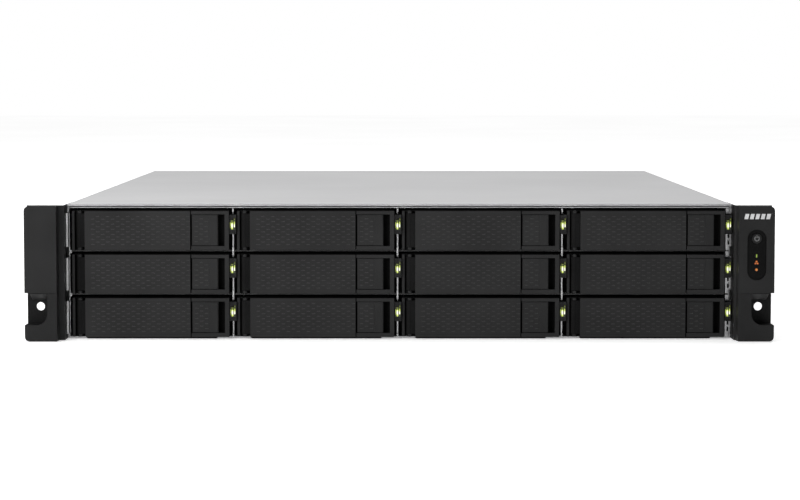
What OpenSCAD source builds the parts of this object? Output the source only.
// Rack-mount network attached storage, two rack units high, with twelve hot-swap drive trays.
// X runs to the right seen from the front, +Y to the back and +Z up, in millimetres.
// The origin is the bottom centre of the box around the whole unit.

/* [Chassis] */
// Width of the chassis body
body_w = 432; // [430:0.5:434]
// Height of the chassis with its top cover on
body_h = 87.8; // [87.4:0.1:88.6]
// Depth from the front edge of the walls to the outside of the rear panel
body_d = 550; // [545:1:620]
// Thickness of the sheet steel
sheet = 1.2; // [1.0:0.1:1.2]

/* [Rack ears] */
// Width over both rack ears
ear_span = 482; // [481:0.5:483]
// How far the ears stand ahead of the chassis walls
ear_reach = 23; // [22:0.5:26]
// Distance between the rack screws of the two ears
rack_pitch = 465.1; // [465:0.1:466]
// Height of the rack screws above the bottom
rack_z = 21.8; // [21:0.1:22.5]
// Radius of the rack screw holes
rack_r = 2.75; // [2.6:0.05:3.2]

/* [Drive bays] */
// Distance between neighbouring columns of bays
bay_pitch_x = 107.05; // [107:0.05:107.3]
// Distance between neighbouring rows of bays
bay_pitch_z = 28.3; // [28.2:0.05:28.4]
// How far the tray faces stand ahead of the chassis walls
face_reach = 9; // [8.6:0.1:10]
// Depth of the drive cage
cage_d = 161; // [161:1:164]

/* [Power supplies] */
// Width of one power supply
psu_w = 73.5; // [72:0.5:73.5]
// Height of one power supply
psu_h = 39; // [38:0.2:39]
// Depth of one power supply without its handle
psu_d = 185; // [170:1:190]
// How far the handles stand behind the rear panel
handle_reach = 22; // [20:0.5:26]

/* [Fans] */
// Side of the square fan frames
fan_size = 80; // [76:1:80]
// Number of blades on each rotor
fan_blades = 7; // [5:1:9]

/* [Hidden] */
// ---- derived places; y_front carries the drawing's Y zero, the front edge of the walls ----
total_d = ear_reach + body_d + handle_reach;
y_front = ear_reach - total_d / 2;
wall_x = body_w / 2;
inner_x = wall_x - sheet;
ear_x = ear_span / 2;
cover_z = body_h - sheet;
wall_top = cover_z - 0.2;
eps = 0.01;

// ---- bays ----
columns = 4;
rows = 3;
bay_count = columns * rows;
divider_t = 1.0;
bay_w = bay_pitch_x - divider_t;
bay_x0 = -inner_x;
bay_z0 = 1.5;
ledge_t = 1.0;
ledge_w = 4;
ledge_gap = 0.2;
ledge_y = 6;
function bay_x(b) = bay_x0 + (b % columns) * bay_pitch_x;
function bay_z(b) = bay_z0 + (rows - 1 - floor(b / columns)) * bay_pitch_z;

// ---- tray, in a bay's own frame: x from the bay's left side, z from the tray's underside ----
tray_side_gap = 0.35;
rail_t = 1.75;
rail_y = 5;
rail_h = 10.2;
rail_end = 159;
bezel_h = 25.7;
bezel_y = -1.8;
bezel_left = 2.4;
bezel_right = 104.4;
face_z0 = 0.2;
face_z1 = 25.5;
drive_size = [101.6, 147, 26.1];
drive_y = 8;
pivot = [7.4, -4.2];
pivot_r = 2.2;
pin_r = 1.0;
pin_gap = 0.05;
knuckle_h = 1.6;
lever_x0 = 11.0;
lever_x1 = 79.3;
lever_t = 2.6;
lever_rib_y = -2.4;
lever_wall = 1.5;
latch_box_x = 79.9;
latch_x0 = 80.5;
latch_x1 = 97.3;
latch_slot_x = 101.6;
latch_z0 = 2.9;
latch_z1 = 23.3;
holder_x1 = 109.1;
holder_z = [10.5, 23.1];
light_x = [105.2, 108.5];
light_mid = (light_x[0] + light_x[1]) / 2;
light_z = [13.3, 19.8];

// ---- rear half ----
rear_y = body_d - sheet;
board_z = 8;
board_t = 1.6;
board_x = [-206, 126];
board_y = [300, rear_y - 0.4];
psu_x = 138.6;
psu_z = [2.6, 43.6];
psu_shelf_z = 42.1;
psu_wall_x = 136.4;
psu_y = body_d + 1 - psu_d;
fan_y = 190;
fan_t = 25;
fan_x = [-155, -39, 77];
fan_z = 2.6 + fan_size / 2;
fan_r = fan_size / 2 - 2;
backplane_y = 163;
$fn = 48;

// ---- sockets of the rear panel: their centres, and their shells as [width, depth, height] ----
usb_x = [-118, -96];
lan_x = [-66, -44];
sfp_x = [-14, 6];
usb_size = [13.2, 17.5, 15.8];
lan_size = [16, 21, 13.6];
sfp_size = [14.8, 48, 10.4];
port_z = board_z + board_t;
slot_x = [-196, -175.7, -155.4];

tray_names = [for (b = [1 : bay_count]) str("tray_", b)];
lever_names = [for (b = [1 : bay_count]) str("tray_lever_", b)];
latch_names = [for (b = [1 : bay_count]) str("tray_latch_", b)];
rotor_names = [for (f = [1 : len(fan_x)]) str("fan_rotor_", f)];
psu_names = [for (p = [1 : 2]) str("power_supply_", p)];
psu_latch_names = [for (p = [1 : 2]) str("psu_latch_", p)];

// ======================================================================= helpers

// A box given by its lowest and highest corners.
module box(low, high) {
    translate(low) cube(high - low);
}

// A cylinder along Y from y0 to y1.
module rod_y(x, z, r, y0, y1) {
    translate([x, y0, z]) rotate([-90, 0, 0]) cylinder(r = r, h = y1 - y0);
}

// A cylinder along X from x0 to x1.
module rod_x(y, z, r, x0, x1) {
    translate([x0, y, z]) rotate([0, 90, 0]) cylinder(r = r, h = x1 - x0);
}

// A rectangle with round corners, drawn in X and Z and given a depth along Y.
module rounded_y(low, high, r) {
    w = high[0] - low[0];
    h = high[2] - low[2];
    translate([low[0], high[1], low[2]]) rotate([90, 0, 0])
        linear_extrude(high[1] - low[1]) {
            translate([r, 0]) square([w - 2 * r, h]);
            translate([0, r]) square([w, h - 2 * r]);
            for (x = [r, w - r], z = [r, h - r]) translate([x, z]) circle(r);
        }
}

// An upright slot with round ends, drawn in X and Z and given a depth along Y.
module stadium_y(x, z, w, h, y0, y1) {
    rounded_y([x - w / 2, y0, z - h / 2], [x + w / 2, y1, z + h / 2], w / 2 - eps);
}

// Places its children at bay b's own frame.
module at_bay(b) {
    translate([bay_x(b), 0, bay_z(b)]) children();
}

// ======================================================================= chassis

// Heights of the short tabs on the front edges, at the gaps between the rows of bays.
tab_spans = [
    [1.3, 3.2],
    for (k = [1 : rows - 1]) [bay_z0 + k * bay_pitch_z - 4.5, bay_z0 + k * bay_pitch_z + 1.8],
    [bay_z0 + (rows - 1) * bay_pitch_z + 24.4, 84.8]
];
tab_reach = 1.2;
// The left wall's front edge stands further forward beside the hinges, between those heights.
hinge_guard = 7.5;

// Screws that hold each rack ear to its wall, and the threaded holes for slide rails: [y, z].
ear_screws = [[16, 14], [16, 44], [16, 74]];
rail_screws = [[90, 44], [470, 44]];
rail_r = 2.05;
screw_r = 1.5;
screw_hole_r = 1.6;
// Round air holes in the left wall.
side_vent_corner = [330, 26];
side_vent_pitch = 8;
side_vent_r = 2.4;

module side_wall(side) {
    difference() {
        union() {
            box([wall_x - sheet, 0, 0], [wall_x, rear_y - 0.1, wall_top]);
            for (s = tab_spans) box([wall_x - sheet, -tab_reach, s[0]], [wall_x, 1, s[1]]);
            if (side < 0)
                for (k = [0 : rows - 1])
                    box([wall_x - sheet, -hinge_guard, tab_spans[k][1] + 0.4],
                        [wall_x, 1, tab_spans[k + 1][0] - 0.4]);
        }
        for (p = ear_screws) rod_x(p[0], p[1], screw_hole_r, wall_x - 5, wall_x + 5);
        for (p = rail_screws) rod_x(p[0], p[1], rail_r, wall_x - 5, wall_x + 5);
        if (side < 0)
            for (i = [0 : 8], k = [0 : 3])
                rod_x(side_vent_corner[0] + i * side_vent_pitch, side_vent_corner[1] + k * side_vent_pitch,
                    side_vent_r, wall_x - 5, wall_x + 5);
    }
}

module chassis_base() {
    color("silver") {
        box([-wall_x, 0, 0], [wall_x, rear_y - 0.1, sheet]);
        for (side = [-1, 1]) scale_x(side) side_wall(side);
        // Inner wall and shelf that guide the two power supplies.
        box([psu_wall_x, psu_y - 8, sheet - eps], [psu_wall_x + 1, rear_y - 0.3, 84]);
        box([psu_wall_x, psu_y - 8, psu_shelf_z], [inner_x + eps, rear_y - 0.3, psu_shelf_z + 1]);
        // Standoffs under the main board.
        for (x = [board_x[0] + 10, -40, board_x[1] - 10], y = [board_y[0] + 10, board_y[1] - 30])
            translate([x, y, sheet - eps]) cylinder(r = 3, h = board_z - sheet);
    }
}

// Mirrors its children to the left for side -1.
module scale_x(side) {
    mirror([side < 0 ? 1 : 0, 0, 0]) children();
}

vent_pitch = 5.2;
vent_r = 1.9;
vent_x = 122;
vent_z = [40, 76];
slot_open = [12.5, 66];
slot_z = port_z + 3;
blank_t = 1;
// Pinhole over the reset switch: [x, z].
reset_hole = [30, 15];
reset_hole_r = 1.2;

module vent_field(x0, x1, z0, z1) {
    nx = floor((x1 - x0) / vent_pitch);
    nz = floor((z1 - z0) / (vent_pitch * 0.866));
    for (i = [0 : nx], k = [0 : nz]) {
        x = x0 + i * vent_pitch + (k % 2) * vent_pitch / 2;
        if (x <= x1) rod_y(x, z0 + k * vent_pitch * 0.866, vent_r, rear_y - 1, body_d + 1);
    }
}

module rear_panel() {
    color("silver") {
        difference() {
            box([-inner_x + 0.1, rear_y, 1.3], [inner_x - 0.1, body_d, wall_top]);
            box([psu_x - 0.8, rear_y - 1, psu_z[0] - 0.4],
                [psu_x + psu_w + 0.8, body_d + 1, psu_z[1] + psu_h + 0.4]);
            for (x = usb_x) port_cut(x, usb_size);
            for (x = lan_x) port_cut(x, lan_size);
            for (x = sfp_x) port_cut(x, sfp_size);
            for (x = slot_x)
                box([x - slot_open[0] / 2, rear_y - 1, slot_z],
                    [x + slot_open[0] / 2, body_d + 1, slot_z + slot_open[1]]);
            vent_field(-vent_x, vent_x, vent_z[0], vent_z[1]);
            for (x = thumb_x) rod_y(x, thumb_z, screw_hole_r, rear_y - 1, body_d + 1);
            rod_y(reset_hole[0], reset_hole[1], reset_hole_r, rear_y - 1, body_d + 1);
        }
        // Blank brackets that close the three expansion slots from the inside.
        for (x = slot_x)
            box([x - 9.2, rear_y - 0.1 - blank_t, slot_z - 2.5],
                [x + 9.2, rear_y - 0.1, slot_z + slot_open[1] + 2.5]);
    }
}

module port_cut(x, size) {
    box([x - size[0] / 2 - 0.3, rear_y - 1, port_z - 0.3],
        [x + size[0] / 2 + 0.3, body_d + 1, port_z + size[2] + 0.3]);
}

// ======================================================================= drive cage

side_slot_z = [3.2, 7.6];

module ledge(x0, x1, k) {
    z = bay_z0 + k * bay_pitch_z - ledge_gap - ledge_t;
    box([x0, ledge_y, z], [x1, cage_d - 3, z + ledge_t]);
}

module divider(c) {
    x = bay_x0 + c * bay_pitch_x + bay_w;
    box([x, 0, 1.3], [x + divider_t, cage_d, 84.9]);
    for (s = tab_spans) box([x, -tab_reach, s[0]], [x + divider_t, 1, s[1]]);
    for (k = [1 : rows - 1]) ledge(x - ledge_w, x + divider_t + ledge_w, k);
}

// The right side of the cage: an upright sheet with its front edge folded out to the wall.
module cage_side() {
    x = bay_x0 + (columns - 1) * bay_pitch_x + bay_w;
    box([x, 0, 1.3], [x + divider_t, cage_d, 84.9]);
    difference() {
        box([x, 0, 1.3], [inner_x - 0.1, 1, 84.9]);
        // Two slots of the fold beside each row of trays.
        for (k = [0 : rows - 1], z = side_slot_z) {
            low = bay_z0 + k * bay_pitch_z + z;
            box([inner_x - 1.1, -1, low], [inner_x, 2, low + 2.6]);
        }
    }
    for (k = [1 : rows - 1]) ledge(x - ledge_w, x + eps, k);
}

module drive_cage() {
    color("silver") {
        for (c = [0 : columns - 2]) divider(c);
        for (k = [1 : rows - 1]) ledge(-inner_x, -inner_x + ledge_w, k);
        cage_side();
    }
}

module cage_top() {
    color("silver") difference() {
        box([-inner_x + 0.2, 0, 85], [inner_x - 0.2, cage_d, 86]);
        for (c = [0 : columns - 1])
            rounded_slot([bay_x0 + c * bay_pitch_x + 28, 60], [50, 50]);
    }
}

// A wide opening with round corners through a level sheet.
module rounded_slot(corner, size) {
    r = 4;
    translate([corner[0], corner[1], 80]) linear_extrude(10) {
        translate([r, 0]) square([size[0] - 2 * r, size[1]]);
        translate([0, r]) square([size[0], size[1] - 2 * r]);
        for (x = [r, size[0] - r], y = [r, size[1] - r]) translate([x, y]) circle(r);
    }
}

// ======================================================================= rack ears

flange_y = [-10, -8];
bracket_t = 1.6;
ear_top = body_h - 0.4;
ear_low = 0.3;
left_face_x = 220.3;
right_face_x = 217.9;
pocket_x = 226.4;
pocket_corner_r = 7.4;
notch_x = 237.7;
notch_z = [10.8, 31.6];

module ear_bracket() {
    difference() {
        union() {
            box([wall_x + 0.1, flange_y[0], ear_low], [ear_x, flange_y[1], ear_top]);
            box([wall_x + 0.1, flange_y[0], ear_low], [wall_x + 0.1 + bracket_t, 30, ear_top]);
        }
        rod_y(rack_pitch / 2, rack_z, rack_r, -20, 0);
        for (p = ear_screws) rod_x(p[0], p[1], screw_hole_r, wall_x - 2, wall_x + 6);
    }
}

module ear_brackets() {
    color("#2a2a2a") for (side = [-1, 1]) scale_x(side) ear_bracket();
}

// The moulded cap of an ear, drawn for the right side; face_x is the inner edge of its front face.
module ear_cap(face_x) {
    inner = wall_x + 0.3;
    difference() {
        intersection() {
            translate([0, 0, ear_low]) linear_extrude(ear_top - ear_low)
                polygon([
                    [ear_x, -ear_reach], [face_x, -ear_reach], [face_x - 0.6, -ear_reach + 7.6],
                    [inner, -ear_reach + 8.6], [inner, -10.1], [ear_x, -10.1]
                ]);
            rounded_y([face_x - 30, -ear_reach - 1, ear_low], [ear_x, 0, ear_top], 3);
        }
        // Pocket and notch for the rack screw.
        screw_pocket();
        box([notch_x, -ear_reach - 1, notch_z[0]], [ear_x + 1, -10, notch_z[1]]);
        // Shallow scoop in the face above the pocket.
        translate([0, -ear_reach, notch_z[1]]) rotate([90, 0, 90])
            linear_extrude(ear_x + 1) polygon([[-1, 0], [1.0, 0], [0, -11], [-1, -12]]);
    }
}

// The hollow in front of the rack screw's hole: a ramp from the face down to the bracket,
// round at its inner foot.
module screw_pocket() {
    intersection() {
        translate([pocket_x, 0, 0]) rotate([90, 0, 90]) linear_extrude(ear_x + 1 - pocket_x)
            polygon([
                [-ear_reach - 1, notch_z[1] - 0.5], [-ear_reach, notch_z[1] - 0.5], [-10, rack_z + 4.4],
                [-10, notch_z[0]], [-ear_reach - 1, notch_z[0]]
            ]);
        rounded_y([pocket_x, -ear_reach - 2, notch_z[0]], [ear_x + 20, -9, notch_z[1] + 20], pocket_corner_r);
    }
}

module left_ear_cover() {
    color("#333333") scale_x(-1) ear_cap(left_face_x);
}

panel_x = 229.5;
panel_z = 56.2;
panel_w = 12.2;
panel_h = 32.6;
button_z = 66.7;
button_r = 3.1;
light_zs = [55.5, 51.2, 46.6];

module right_ear_cover() {
    color("#333333") difference() {
        ear_cap(right_face_x);
        stadium_y(panel_x, panel_z, panel_w, panel_h, -ear_reach - 1, -ear_reach + 1.0);
        rod_y(panel_x, button_z, button_r + 0.15, -ear_reach - 1, -ear_reach + 5);
        for (z = light_zs) rod_y(panel_x, z, 1.25, -ear_reach - 1, -ear_reach + 5);
        // Room for the switch board, open to the back.
        box([panel_x - 8, -ear_reach + 4, panel_z - 19], [panel_x + 8, -10, panel_z + 19]);
    }
}

module power_button() {
    color("#262626") {
        rod_y(panel_x, button_z, button_r, -ear_reach + 0.2, -ear_reach + 3.6);
        rod_y(panel_x, button_z, button_r - 1.2, -ear_reach + 3.5, -ear_reach + 5.2);
    }
}

module front_panel_board() {
    color("darkgreen") {
        box([panel_x - 7, -ear_reach + 8.2, panel_z - 18], [panel_x + 7, -ear_reach + 9.4, panel_z + 18]);
        box([panel_x - 2.5, -ear_reach + 6.2, button_z - 2.5],
            [panel_x + 2.5, -ear_reach + 8.3, button_z + 2.5]);
        for (z = light_zs) rod_y(panel_x, z, 1.1, -ear_reach + 1.2, -ear_reach + 8.3);
    }
}

// ======================================================================= trays

module latch_housing() {
    difference() {
        box([latch_box_x, -face_reach, face_z0], [bezel_right, bezel_y + eps, face_z1]);
        box([latch_box_x - 1, -face_reach - 1, latch_z0], [latch_slot_x, -3.4, latch_z1]);
    }
}

module light_holder() {
    difference() {
        box([bezel_right - eps, -8, holder_z[0]], [holder_x1, -0.6, holder_z[1]]);
        box([light_x[0] - 0.1, -9, light_z[0] - 0.1], [light_x[1] + 0.1, -3, light_z[1] + 0.1]);
    }
}

module hinge_knuckle(z) {
    difference() {
        union() {
            translate([pivot[0], pivot[1], z]) cylinder(r = pivot_r, h = knuckle_h);
            box([pivot[0] - pivot_r, pivot[1], z], [pivot[0] + pivot_r, bezel_y + eps, z + knuckle_h]);
        }
        translate([pivot[0], pivot[1], z - 1]) cylinder(r = pin_r + pin_gap, h = knuckle_h + 2);
    }
}

module tray_frame() {
    for (x = [tray_side_gap, bay_w - tray_side_gap - rail_t])
        box([x, rail_y, 0], [x + rail_t, rail_end, rail_h]);
    box([tray_side_gap, rail_y, 0], [bay_w - tray_side_gap, rail_y + 1.6, rail_h]);
    box([bezel_left, bezel_y, 0], [bezel_right, rail_y + eps, 2.4]);
    box([bezel_left, bezel_y, rail_h - 1.6], [bezel_right, rail_y + eps, rail_h]);
    difference() {
        box([bezel_left, bezel_y, 0], [bezel_right, 1.2, bezel_h]);
        // Air slots in the wall behind the lever.
        for (i = [0 : 6]) box([16 + i * 9, -3, rail_h + 1], [22 + i * 9, 3, 22.5]);
    }
    box([bezel_left, -6, face_z0], [4.1, bezel_y + eps, face_z1]);
    hinge_knuckle(face_z0);
    hinge_knuckle(face_z1 - knuckle_h);
    latch_housing();
    light_holder();
}

module hard_drive() {
    x = (bay_w - drive_size[0]) / 2;
    difference() {
        union() {
            box([x, drive_y, 0.3], [x + drive_size[0], drive_y + drive_size[1], 20.5]);
            box([x + 2, drive_y + 2, 20.4],
                [x + drive_size[0] - 2, drive_y + drive_size[1] - 2, 0.3 + drive_size[2]]);
        }
        // Recess for the circuit board, and the mouth of the data and power connector.
        box([x + 8, drive_y + 60, 0], [x + drive_size[0] - 8, drive_y + drive_size[1] - 8, 1.8]);
        box([x + 26, drive_y + drive_size[1] - 6, 2.2], [x + 72, drive_y + drive_size[1] + 1, 9]);
    }
}

module light_pipe() {
    difference() {
        box([light_x[0], -8.5, light_z[0]], [light_x[1], -3.1, light_z[1]]);
        box([light_mid - 0.15, -9, light_z[0] - 1], [light_mid + 0.15, -7.7, light_z[1] + 1]);
    }
}

// A loaded tray: the moulded frame, the drive in it and the light pipe beside its latch.
module tray(b) {
    at_bay(b) {
        color("#1e1e1e") tray_frame();
        color("#9a9da0") hard_drive();
        color("#b8f04a") light_pipe();
    }
}

module tray_lever(b) {
    z0 = face_z0;
    z1 = face_z1;
    back = -face_reach + lever_t;
    barrel_z0 = face_z0 + knuckle_h + 0.2;
    barrel_z1 = face_z1 - knuckle_h - 0.2;
    color("#363636") at_bay(b) {
        difference() {
            box([lever_x0, -face_reach, z0], [lever_x1, lever_rib_y, z1]);
            box([lever_x0 + lever_wall, back, z0 + lever_wall], [lever_x1 - lever_wall, 0, z1 - lever_wall]);
        }
        for (x = [28, 45, 62]) box([x, back - eps, z0 + 1], [x + 1.2, lever_rib_y - 1, z1 - 1]);
        box([pivot[0], -6.2, barrel_z0], [lever_x0 + 1, -3.0, barrel_z1]);
        translate([pivot[0], pivot[1], barrel_z0]) cylinder(r = pivot_r, h = barrel_z1 - barrel_z0);
        translate([pivot[0], pivot[1], z0 + 0.2]) cylinder(r = pin_r, h = z1 - z0 - 0.4);
    }
}

module tray_latch(b) {
    color("#343434") at_bay(b) {
        box([latch_x0, -face_reach + 0.4, latch_z0 + 0.3], [latch_x1, -6.4, latch_z1 - 0.3]);
        box([latch_x0 + 11.2, -face_reach, latch_z0 + 0.3], [latch_x1 - 0.4, -6.4, latch_z1 - 0.3]);
        box([latch_x0 + 2, -6.5, latch_z0 + 3], [latch_x1 - 2, -3.7, latch_z1 - 3]);
    }
}

// ======================================================================= inside

module backplane() {
    color("darkgreen") {
        difference() {
            box([-213, backplane_y, 3], [213, backplane_y + board_t, 84.5]);
            for (b = [0 : bay_count - 1]) at_bay(b)
                for (x = [12, 56]) box([x, backplane_y - 1, 12], [x + 36, backplane_y + 4, 23.5]);
        }
        for (b = [0 : bay_count - 1])
            at_bay(b) box([30, cage_d - 7.4, 3], [72, backplane_y - 0.15, 8.2]);
    }
}

module fan_frame(x) {
    half = fan_size / 2;
    difference() {
        box([x - half, fan_y, fan_z - half], [x + half, fan_y + fan_t, fan_z + half]);
        rod_y(x, fan_z, fan_r, fan_y - 1, fan_y + fan_t + 1);
        for (sx = [-1, 1], sz = [-1, 1])
            rod_y(x + sx * (half - 4.3), fan_z + sz * (half - 4.3), 2.2, fan_y - 1, fan_y + fan_t + 1);
    }
    // Motor mount and the four struts that carry it.
    rod_y(x, fan_z, 15, fan_y + fan_t - 3, fan_y + fan_t);
    for (side = [-1, 1]) {
        box([x + min(side * 14, side * (fan_r + 1)), fan_y + fan_t - 2.6, fan_z - 1.2],
            [x + max(side * 14, side * (fan_r + 1)), fan_y + fan_t - 0.4, fan_z + 1.2]);
        box([x - 1.2, fan_y + fan_t - 2.6, fan_z + min(side * 14, side * (fan_r + 1))],
            [x + 1.2, fan_y + fan_t - 0.4, fan_z + max(side * 14, side * (fan_r + 1))]);
    }
}

module fan_frames() {
    color("#202020") {
        for (x = fan_x) fan_frame(x);
        // Channel that carries the fans on the floor.
        box([-212.5, fan_y - 2, 1.2], [134, fan_y + fan_t + 2, 2.4]);
    }
}

module fan_rotor(f) {
    x = fan_x[f];
    hub_r = 15.5;
    tip_r = fan_r - 1;
    color("#2b2b2b") {
        rod_y(x, fan_z, hub_r, fan_y + 2, fan_y + fan_t - 3.6);
        intersection() {
            for (i = [0 : fan_blades - 1])
                translate([x, fan_y + 11, fan_z]) rotate([0, i * 360 / fan_blades, 0])
                    rotate([38, 0, 0]) translate([hub_r - 2, -1, -14]) cube([tip_r, 2, 28]);
            rod_y(x, fan_z, tip_r, fan_y + 2, fan_y + fan_t - 3.6);
        }
    }
}

module motherboard() {
    color("darkgreen") {
        box([board_x[0], board_y[0], board_z], [board_x[1], board_y[1], board_z + board_t]);
        top = board_z + board_t - eps;
        // Memory sockets with upright modules.
        for (i = [0 : 3]) {
            x = 30 + i * 10;
            box([x - 3, 340, top], [x + 3, 480, top + 8]);
            box([x - 0.7, 342, top + 7], [x + 0.7, 478, top + 31]);
        }
        // Expansion sockets in line with the rear slots.
        for (x = slot_x) box([x - 3.7, 410, top], [x + 3.7, 500, top + 11]);
        // Controller chips, battery and the main power socket.
        for (p = [[-120, 360], [-120, 440], [-70, 500], [90, 330]])
            box([p[0], p[1], top], [p[0] + 22, p[1] + 22, top + 2.4]);
        translate([96, 380, top]) cylinder(r = 10, h = 4);
        box([80, 420, top], [118, 431, top + 12]);
    }
}

sink_x = [-70, 8];
sink_y = [345, 435];

module cpu_heatsink() {
    base = board_z + board_t + 4;
    color("silver") {
        box([sink_x[0], sink_y[0], base], [sink_x[1], sink_y[1], base + 5]);
        for (i = [0 : 15]) {
            x = sink_x[0] + i * (sink_x[1] - sink_x[0] - 1) / 15;
            box([x, sink_y[0], base + 4.9], [x + 1, sink_y[1], base + 45]);
        }
        box([sink_x[0] + 20, sink_y[0] + 25, board_z + board_t + 0.1],
            [sink_x[1] - 20, sink_y[1] - 25, base + 0.1]);
    }
}

// ---- metal-shelled sockets of the rear panel ----

module socket_shell(x, size, z0, cavities, depth) {
    y1 = body_d + 0.6;
    difference() {
        box([x - size[0] / 2, y1 - size[1], z0 + 0.1], [x + size[0] / 2, y1, z0 + size[2]]);
        for (c = cavities)
            box([x - c[0] / 2, y1 - depth, z0 + c[1]], [x + c[0] / 2, y1 + 1, z0 + c[2]]);
    }
}

usb_holes = [[12.4, 1.2, 6.6], [12.4, 9.0, 14.4]];
lan_holes = [[11.9, 1.6, 9.4], [6.2, 9.3, 11.4]];
sfp_holes = [[13.8, 0.8, 9.7]];

module rear_ports() {
    color("silver") {
        for (x = usb_x) socket_shell(x, usb_size, port_z, usb_holes, 13);
        for (x = lan_x) socket_shell(x, lan_size, port_z, lan_holes, 15);
        for (x = sfp_x) socket_shell(x, sfp_size, port_z, sfp_holes, 44);
    }
    // Contact tongues in the upper half of each universal serial bus mouth.
    color("black") for (x = usb_x, c = usb_holes)
        box([x - 5, body_d - 12.5, port_z + c[2] - 0.6], [x + 5, body_d - 2, port_z + c[2] + 0.2]);
}

// ======================================================================= power supplies

inlet_x = 21;
inlet_size = [24.4, 16.8];
inlet_depth = 16;
psu_fan_x = 56;
psu_fan_r = 15.6;
psu_skin = 1.0;
psu_end = 20;
handle_x = [36.5, 41.5];
latch_tab_x = 43.2;

// Folded sleeve around the circuit, open at both ends.
module psu_sleeve() {
    difference() {
        cube([psu_w, psu_d - psu_end - 0.1, psu_h]);
        box([psu_skin, -1, psu_skin], [psu_w - psu_skin, psu_d, psu_h - psu_skin]);
    }
}

// Rear block with the mains inlet, the exhaust fan's guard and the channel of the release catch.
module psu_rear() {
    h = psu_h;
    difference() {
        box([0, psu_d - psu_end, 0], [psu_w, psu_d, h]);
        // Mains inlet and the mouth of the exhaust fan.
        rounded_y([inlet_x - inlet_size[0] / 2, psu_d - inlet_depth, h / 2 - inlet_size[1] / 2],
            [inlet_x + inlet_size[0] / 2, psu_d + 1, h / 2 + inlet_size[1] / 2], 3);
        rod_y(psu_fan_x, h / 2, psu_fan_r, psu_d - 9, psu_d + 1);
        // Channel that the release catch moves in.
        box([latch_tab_x - 4.6, psu_d - 12, h - 5.8], [latch_tab_x + 3, psu_d + 1, h + 1]);
    }
    // Pins of the inlet.
    for (p = [[-7, -2.2], [7, -2.2], [0, 2.8]])
        box([inlet_x + p[0] - 1, psu_d - inlet_depth - 1, h / 2 + p[1] - 2],
            [inlet_x + p[0] + 1, psu_d - 4, h / 2 + p[1] + 2]);
    // Guard rings and cross bars over the fan.
    for (r = [6, 11])
        translate([psu_fan_x, psu_d - 1.2, h / 2]) rotate([-90, 0, 0]) difference() {
            cylinder(r = r + 0.6, h = 1.2);
            translate([0, 0, -1]) cylinder(r = r - 0.6, h = 4);
        }
    for (a = [0, 90])
        translate([psu_fan_x, psu_d - 1.1, h / 2]) rotate([0, a + 45, 0])
            translate([-psu_fan_r - 0.4, 0, -0.7]) cube([2 * psu_fan_r + 0.8, 1.0, 1.4]);
    rod_y(psu_fan_x, h / 2, 3, psu_d - 8, psu_d - 0.6);
}

// End plate with the card edge that plugs into the distribution board.
module psu_end_plate() {
    box([psu_skin + 0.1, 0, psu_skin + 0.1], [psu_w - psu_skin - 0.1, 1.2, psu_h - psu_skin - 0.1]);
    box([14, -9, 8], [60, 0.5, 9.6]);
}

// Bent handle, upright between the inlet and the fan.
module psu_handle() {
    reach = handle_reach - 1;
    for (z = [3.2, 28.2])
        box([handle_x[0], psu_d - 0.1, z], [handle_x[0] + 2.2, psu_d + reach, z + 5]);
    box([handle_x[0], psu_d + reach - 3.4, 3.2], [handle_x[0] + 2.2, psu_d + reach, 33.2]);
}

module power_supply(p) {
    color("#b9bbbd") translate([psu_x, psu_y, psu_z[p]]) {
        psu_sleeve();
        psu_end_plate();
        psu_rear();
        psu_handle();
    }
}

module psu_latch(p) {
    color("#3f7f4a") translate([psu_x, psu_y, psu_z[p]]) {
        box([latch_tab_x, psu_d - 11.5, psu_h - 5.4], [latch_tab_x + 2, psu_d + 15, psu_h - 1]);
        box([latch_tab_x, psu_d + 11, psu_h - 12], [latch_tab_x + 2, psu_d + 15, psu_h - 1]);
    }
}

// ======================================================================= cover and screws

thumb_x = [-140, 60];
thumb_z = 80.6;
cover_slide = 12;
lip_z = 76;
lip_y = body_d + 1;
flange_y0 = cage_d + 44;

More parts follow.
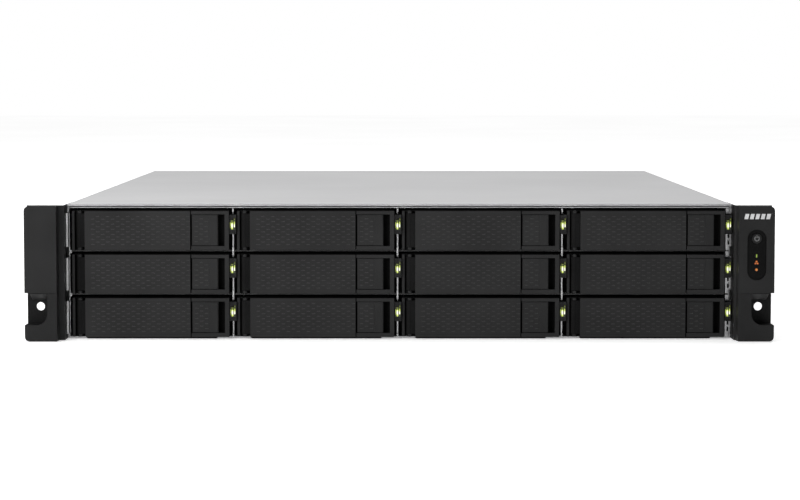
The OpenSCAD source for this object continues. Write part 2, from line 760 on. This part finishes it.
module top_cover() {
    color("silver") difference() {
        union() {
            box([-wall_x, 0, cover_z], [wall_x, lip_y + sheet, body_h]);
            box([-inner_x, lip_y, lip_z], [psu_x - 6, lip_y + sheet, body_h - eps]);
            for (side = [-1, 1]) scale_x(side)
                box([inner_x - 0.3 - sheet, flange_y0, 78],
                    [inner_x - 0.3, rear_y - cover_slide - 4, body_h - eps]);
        }
        for (x = thumb_x) rod_y(x, thumb_z, 2.0, lip_y - 1, lip_y + sheet + 1);
    }
}

// Captive thumbscrews that stay in the cover's rear flange.
module cover_screws() {
    color("#8d8f92") for (x = thumb_x) {
        rod_y(x, thumb_z, screw_r, rear_y - 2, lip_y + sheet + 1);
        rod_y(x, thumb_z, 4.0, lip_y + sheet + 0.1, lip_y + sheet + 7);
        rod_y(x, thumb_z, 2.4, lip_y - 0.8, lip_y - 0.1);
    }
}

// One pan-head screw along +X from the wall outwards, drawn for the right side.
module side_screw(y, z, x_head) {
    difference() {
        union() {
            rod_x(y, z, screw_r, wall_x - 2.2, x_head + 0.1);
            rod_x(y, z, 2.9, x_head, x_head + 1.5);
        }
        for (a = [0, 90]) translate([x_head + 1.2, y, z]) rotate([a, 0, 0])
            translate([-0.4, -1.6, -0.35]) cube([2, 3.2, 0.7]);
    }
}

module case_screws() {
    color("#55575a") for (side = [-1, 1]) scale_x(side)
        for (p = ear_screws) side_screw(p[0], p[1], wall_x + 0.1 + bracket_t);
}

// ======================================================================= nodes

module place() {
    translate([0, y_front, 0]) children();
}

place() chassis_base();
place() rear_panel();
place() drive_cage();
place() cage_top();
place() ear_brackets();
place() left_ear_cover();
place() right_ear_cover();
place() power_button();
place() front_panel_board();
place() backplane();
place() fan_frames();
place() motherboard();
place() cpu_heatsink();
place() rear_ports();
place() top_cover();
place() cover_screws();
place() case_screws();
for (f = [0 : len(fan_x) - 1])
    place() fan_rotor(f);
for (p = [0 : 1]) {
    place() power_supply(p);
    place() psu_latch(p);
}
for (b = [0 : bay_count - 1]) {
    place() tray(b);
    place() tray_lever(b);
    place() tray_latch(b);
}
